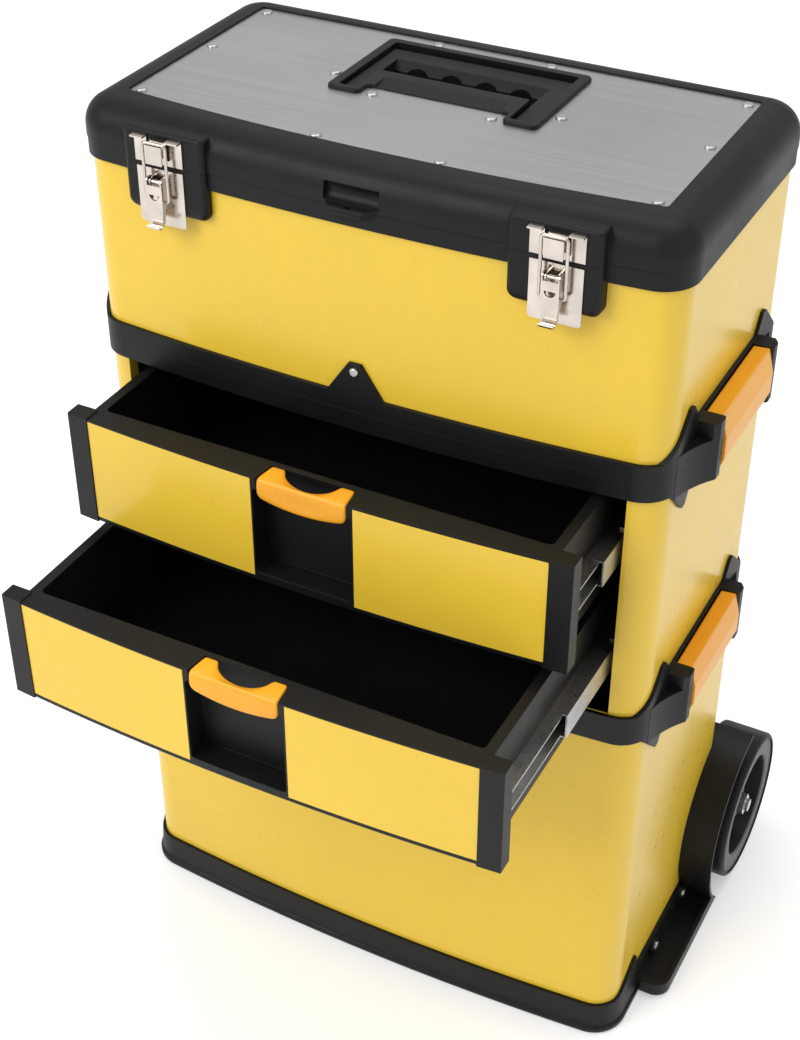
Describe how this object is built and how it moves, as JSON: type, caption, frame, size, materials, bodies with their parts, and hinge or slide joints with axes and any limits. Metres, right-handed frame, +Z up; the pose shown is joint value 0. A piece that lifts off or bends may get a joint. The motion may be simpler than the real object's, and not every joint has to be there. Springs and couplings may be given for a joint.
{
  "type": "modular rolling tool box",
  "caption": "Wheeled tool trolley in clamped modules: lidded top box with carry handle and latches, drawer cabinet with bowed drawers, deep bottom bin and telescopic pull handle.",
  "frame": {"origin": "on the floor, under the crossing of the base ribs in the middle of the moulded base", "axes": "+X to the right seen from the front, +Y towards the wheels at the back, +Z up"},
  "size_m": [0.531, 0.5157, 0.7675],
  "materials": {
    "black_plastic": "fine grained satin",
    "yellow_paint": "gloss powder coat",
    "orange_plastic": "semi gloss",
    "plate_steel": "fine brushed",
    "nickel": "nickel plated",
    "zinc": "zinc plated",
    "wheel_plastic": "satin",
    "tread": "matt",
    "grip_rubber": "matt"
  },
  "bodies": {
    "stack": {"bin_base": "black_plastic", "bin_front_sheet": "yellow_paint", "bin_rear_sheet": "yellow_paint", "bin_top_rim": "black_plastic", "wheel_bracket_right": "black_plastic", "wheel_bracket_left": "black_plastic", "bracket_screws": "zinc", "wheel_axle": "zinc", "axle_nuts": "zinc", "cabinet_base": "black_plastic", "cabinet_shell": "yellow_paint", "cabinet_top_rim": "black_plastic", "slide_carriers": "black_plastic", "cabinet_rails": "zinc", "box_base": "black_plastic", "box_shell": "yellow_paint", "box_rim": "black_plastic", "tab_screw": "zinc", "clamp_pins": "zinc", "hinge_pins": "zinc", "latch_bases": "nickel", "latch_pins": "nickel", "handle_brackets": "black_plastic", "handle_outer_tubes": "zinc", "handle_guide_bushes": "black_plastic"},
    "lid": {"lid_shell": "black_plastic", "lid_plate": "plate_steel", "plate_rivets": "plate_steel", "handle_tray": "black_plastic", "handle_pins": "zinc", "latch_strikes": "nickel"},
    "carry_handle": {"carry_handle": "black_plastic"},
    "pull_handle": {"pull_handle_tube": "zinc", "pull_handle_grip": "grip_rubber"},
    "right_lever": {"latch_lever_right": "nickel"},
    "right_bail": {"latch_bail_right": "nickel"},
    "left_lever": {"latch_lever_left": "nickel"},
    "left_bail": {"latch_bail_left": "nickel"},
    "upper_drawer": {"upper_drawer_tray": "black_plastic", "upper_drawer_front": "black_plastic", "upper_drawer_panels": "yellow_paint", "upper_drawer_pull": "orange_plastic", "upper_drawer_rails": "zinc"},
    "upper_middle_rails": {"upper_middle_rails": "zinc"},
    "lower_drawer": {"lower_drawer_tray": "black_plastic", "lower_drawer_front": "black_plastic", "lower_drawer_panels": "yellow_paint", "lower_drawer_pull": "orange_plastic", "lower_drawer_rails": "zinc"},
    "lower_middle_rails": {"lower_middle_rails": "zinc"},
    "upper_right_clamp": {"upper_clamp_right": "orange_plastic"},
    "upper_left_clamp": {"upper_clamp_left": "orange_plastic"},
    "lower_right_clamp": {"lower_clamp_right": "orange_plastic"},
    "lower_left_clamp": {"lower_clamp_left": "orange_plastic"},
    "right_wheel": {"wheel_right": "wheel_plastic", "tyre_right": "tread"},
    "left_wheel": {"wheel_left": "wheel_plastic", "tyre_left": "tread"}
  },
  "joints": [
    {"name": "lid_hinge", "type": "hinge", "parent": "stack", "child": "lid", "pos_m": [0, 0.1416, 0.7347], "axis": [-1, 0, 0], "range_deg": [0, 100]},
    {"name": "carry_handle_fold", "type": "hinge", "parent": "lid", "child": "carry_handle", "pos_m": [0, 0.0051, 0.7595], "axis": [1, 0, 0], "range_deg": [0, 95]},
    {"name": "pull_handle_slide", "type": "slide", "parent": "stack", "child": "pull_handle", "axis": [0, 0, -1], "range_m": [-0.33, 0]},
    {"name": "right_lever_turn", "type": "hinge", "parent": "stack", "child": "right_lever", "pos_m": [0.151, -0.1275, 0.7262], "axis": [-1, 0, 0], "range_deg": [0, 150]},
    {"name": "right_bail_turn", "type": "hinge", "parent": "right_lever", "child": "right_bail", "pos_m": [0.151, -0.1275, 0.7114], "axis": [1, 0, 0], "range_deg": [0, 150]},
    {"name": "left_lever_turn", "type": "hinge", "parent": "stack", "child": "left_lever", "pos_m": [-0.151, -0.1275, 0.7262], "axis": [-1, 0, 0], "range_deg": [0, 150]},
    {"name": "left_bail_turn", "type": "hinge", "parent": "left_lever", "child": "left_bail", "pos_m": [-0.151, -0.1275, 0.7114], "axis": [1, 0, 0], "range_deg": [0, 150]},
    {"name": "upper_drawer_slide", "type": "slide", "parent": "stack", "child": "upper_drawer", "axis": [0, -1, 0], "range_m": [-0.083, 0.122]},
    {"name": "upper_middle_slide", "type": "slide", "parent": "stack", "child": "upper_middle_rails", "axis": [0, -1, 0], "range_m": [-0.0415, 0.061]},
    {"name": "lower_drawer_slide", "type": "slide", "parent": "stack", "child": "lower_drawer", "axis": [0, -1, 0], "range_m": [-0.1825, 0.0225]},
    {"name": "lower_middle_slide", "type": "slide", "parent": "stack", "child": "lower_middle_rails", "axis": [0, -1, 0], "range_m": [-0.09125, 0.01125]},
    {"name": "upper_right_clamp_turn", "type": "hinge", "parent": "stack", "child": "upper_right_clamp", "pos_m": [0.2454, 0.0095, 0.561], "axis": [0, 1, 0], "range_deg": [0, 100]},
    {"name": "upper_left_clamp_turn", "type": "hinge", "parent": "stack", "child": "upper_left_clamp", "pos_m": [-0.2454, 0.0095, 0.561], "axis": [0, -1, 0], "range_deg": [0, 100]},
    {"name": "lower_right_clamp_turn", "type": "hinge", "parent": "stack", "child": "lower_right_clamp", "pos_m": [0.2454, 0.0095, 0.333], "axis": [0, 1, 0], "range_deg": [0, 100]},
    {"name": "lower_left_clamp_turn", "type": "hinge", "parent": "stack", "child": "lower_left_clamp", "pos_m": [-0.2454, 0.0095, 0.333], "axis": [0, -1, 0], "range_deg": [0, 100]},
    {"name": "right_wheel_roll", "type": "hinge", "parent": "stack", "child": "right_wheel", "pos_m": [0.24275, 0.146, 0.07], "axis": [1, 0, 0], "continuous": true},
    {"name": "left_wheel_roll", "type": "hinge", "parent": "stack", "child": "left_wheel", "pos_m": [-0.24275, 0.146, 0.07], "axis": [1, 0, 0], "continuous": true}
  ],
  "couplings": [
    {"joint": "right_bail_turn", "follows": "right_lever_turn", "ratio": 1},
    {"joint": "left_bail_turn", "follows": "left_lever_turn", "ratio": 1},
    {"joint": "upper_middle_slide", "follows": "upper_drawer_slide", "ratio": 0.5},
    {"joint": "lower_middle_slide", "follows": "lower_drawer_slide", "ratio": 0.5}
  ]
}
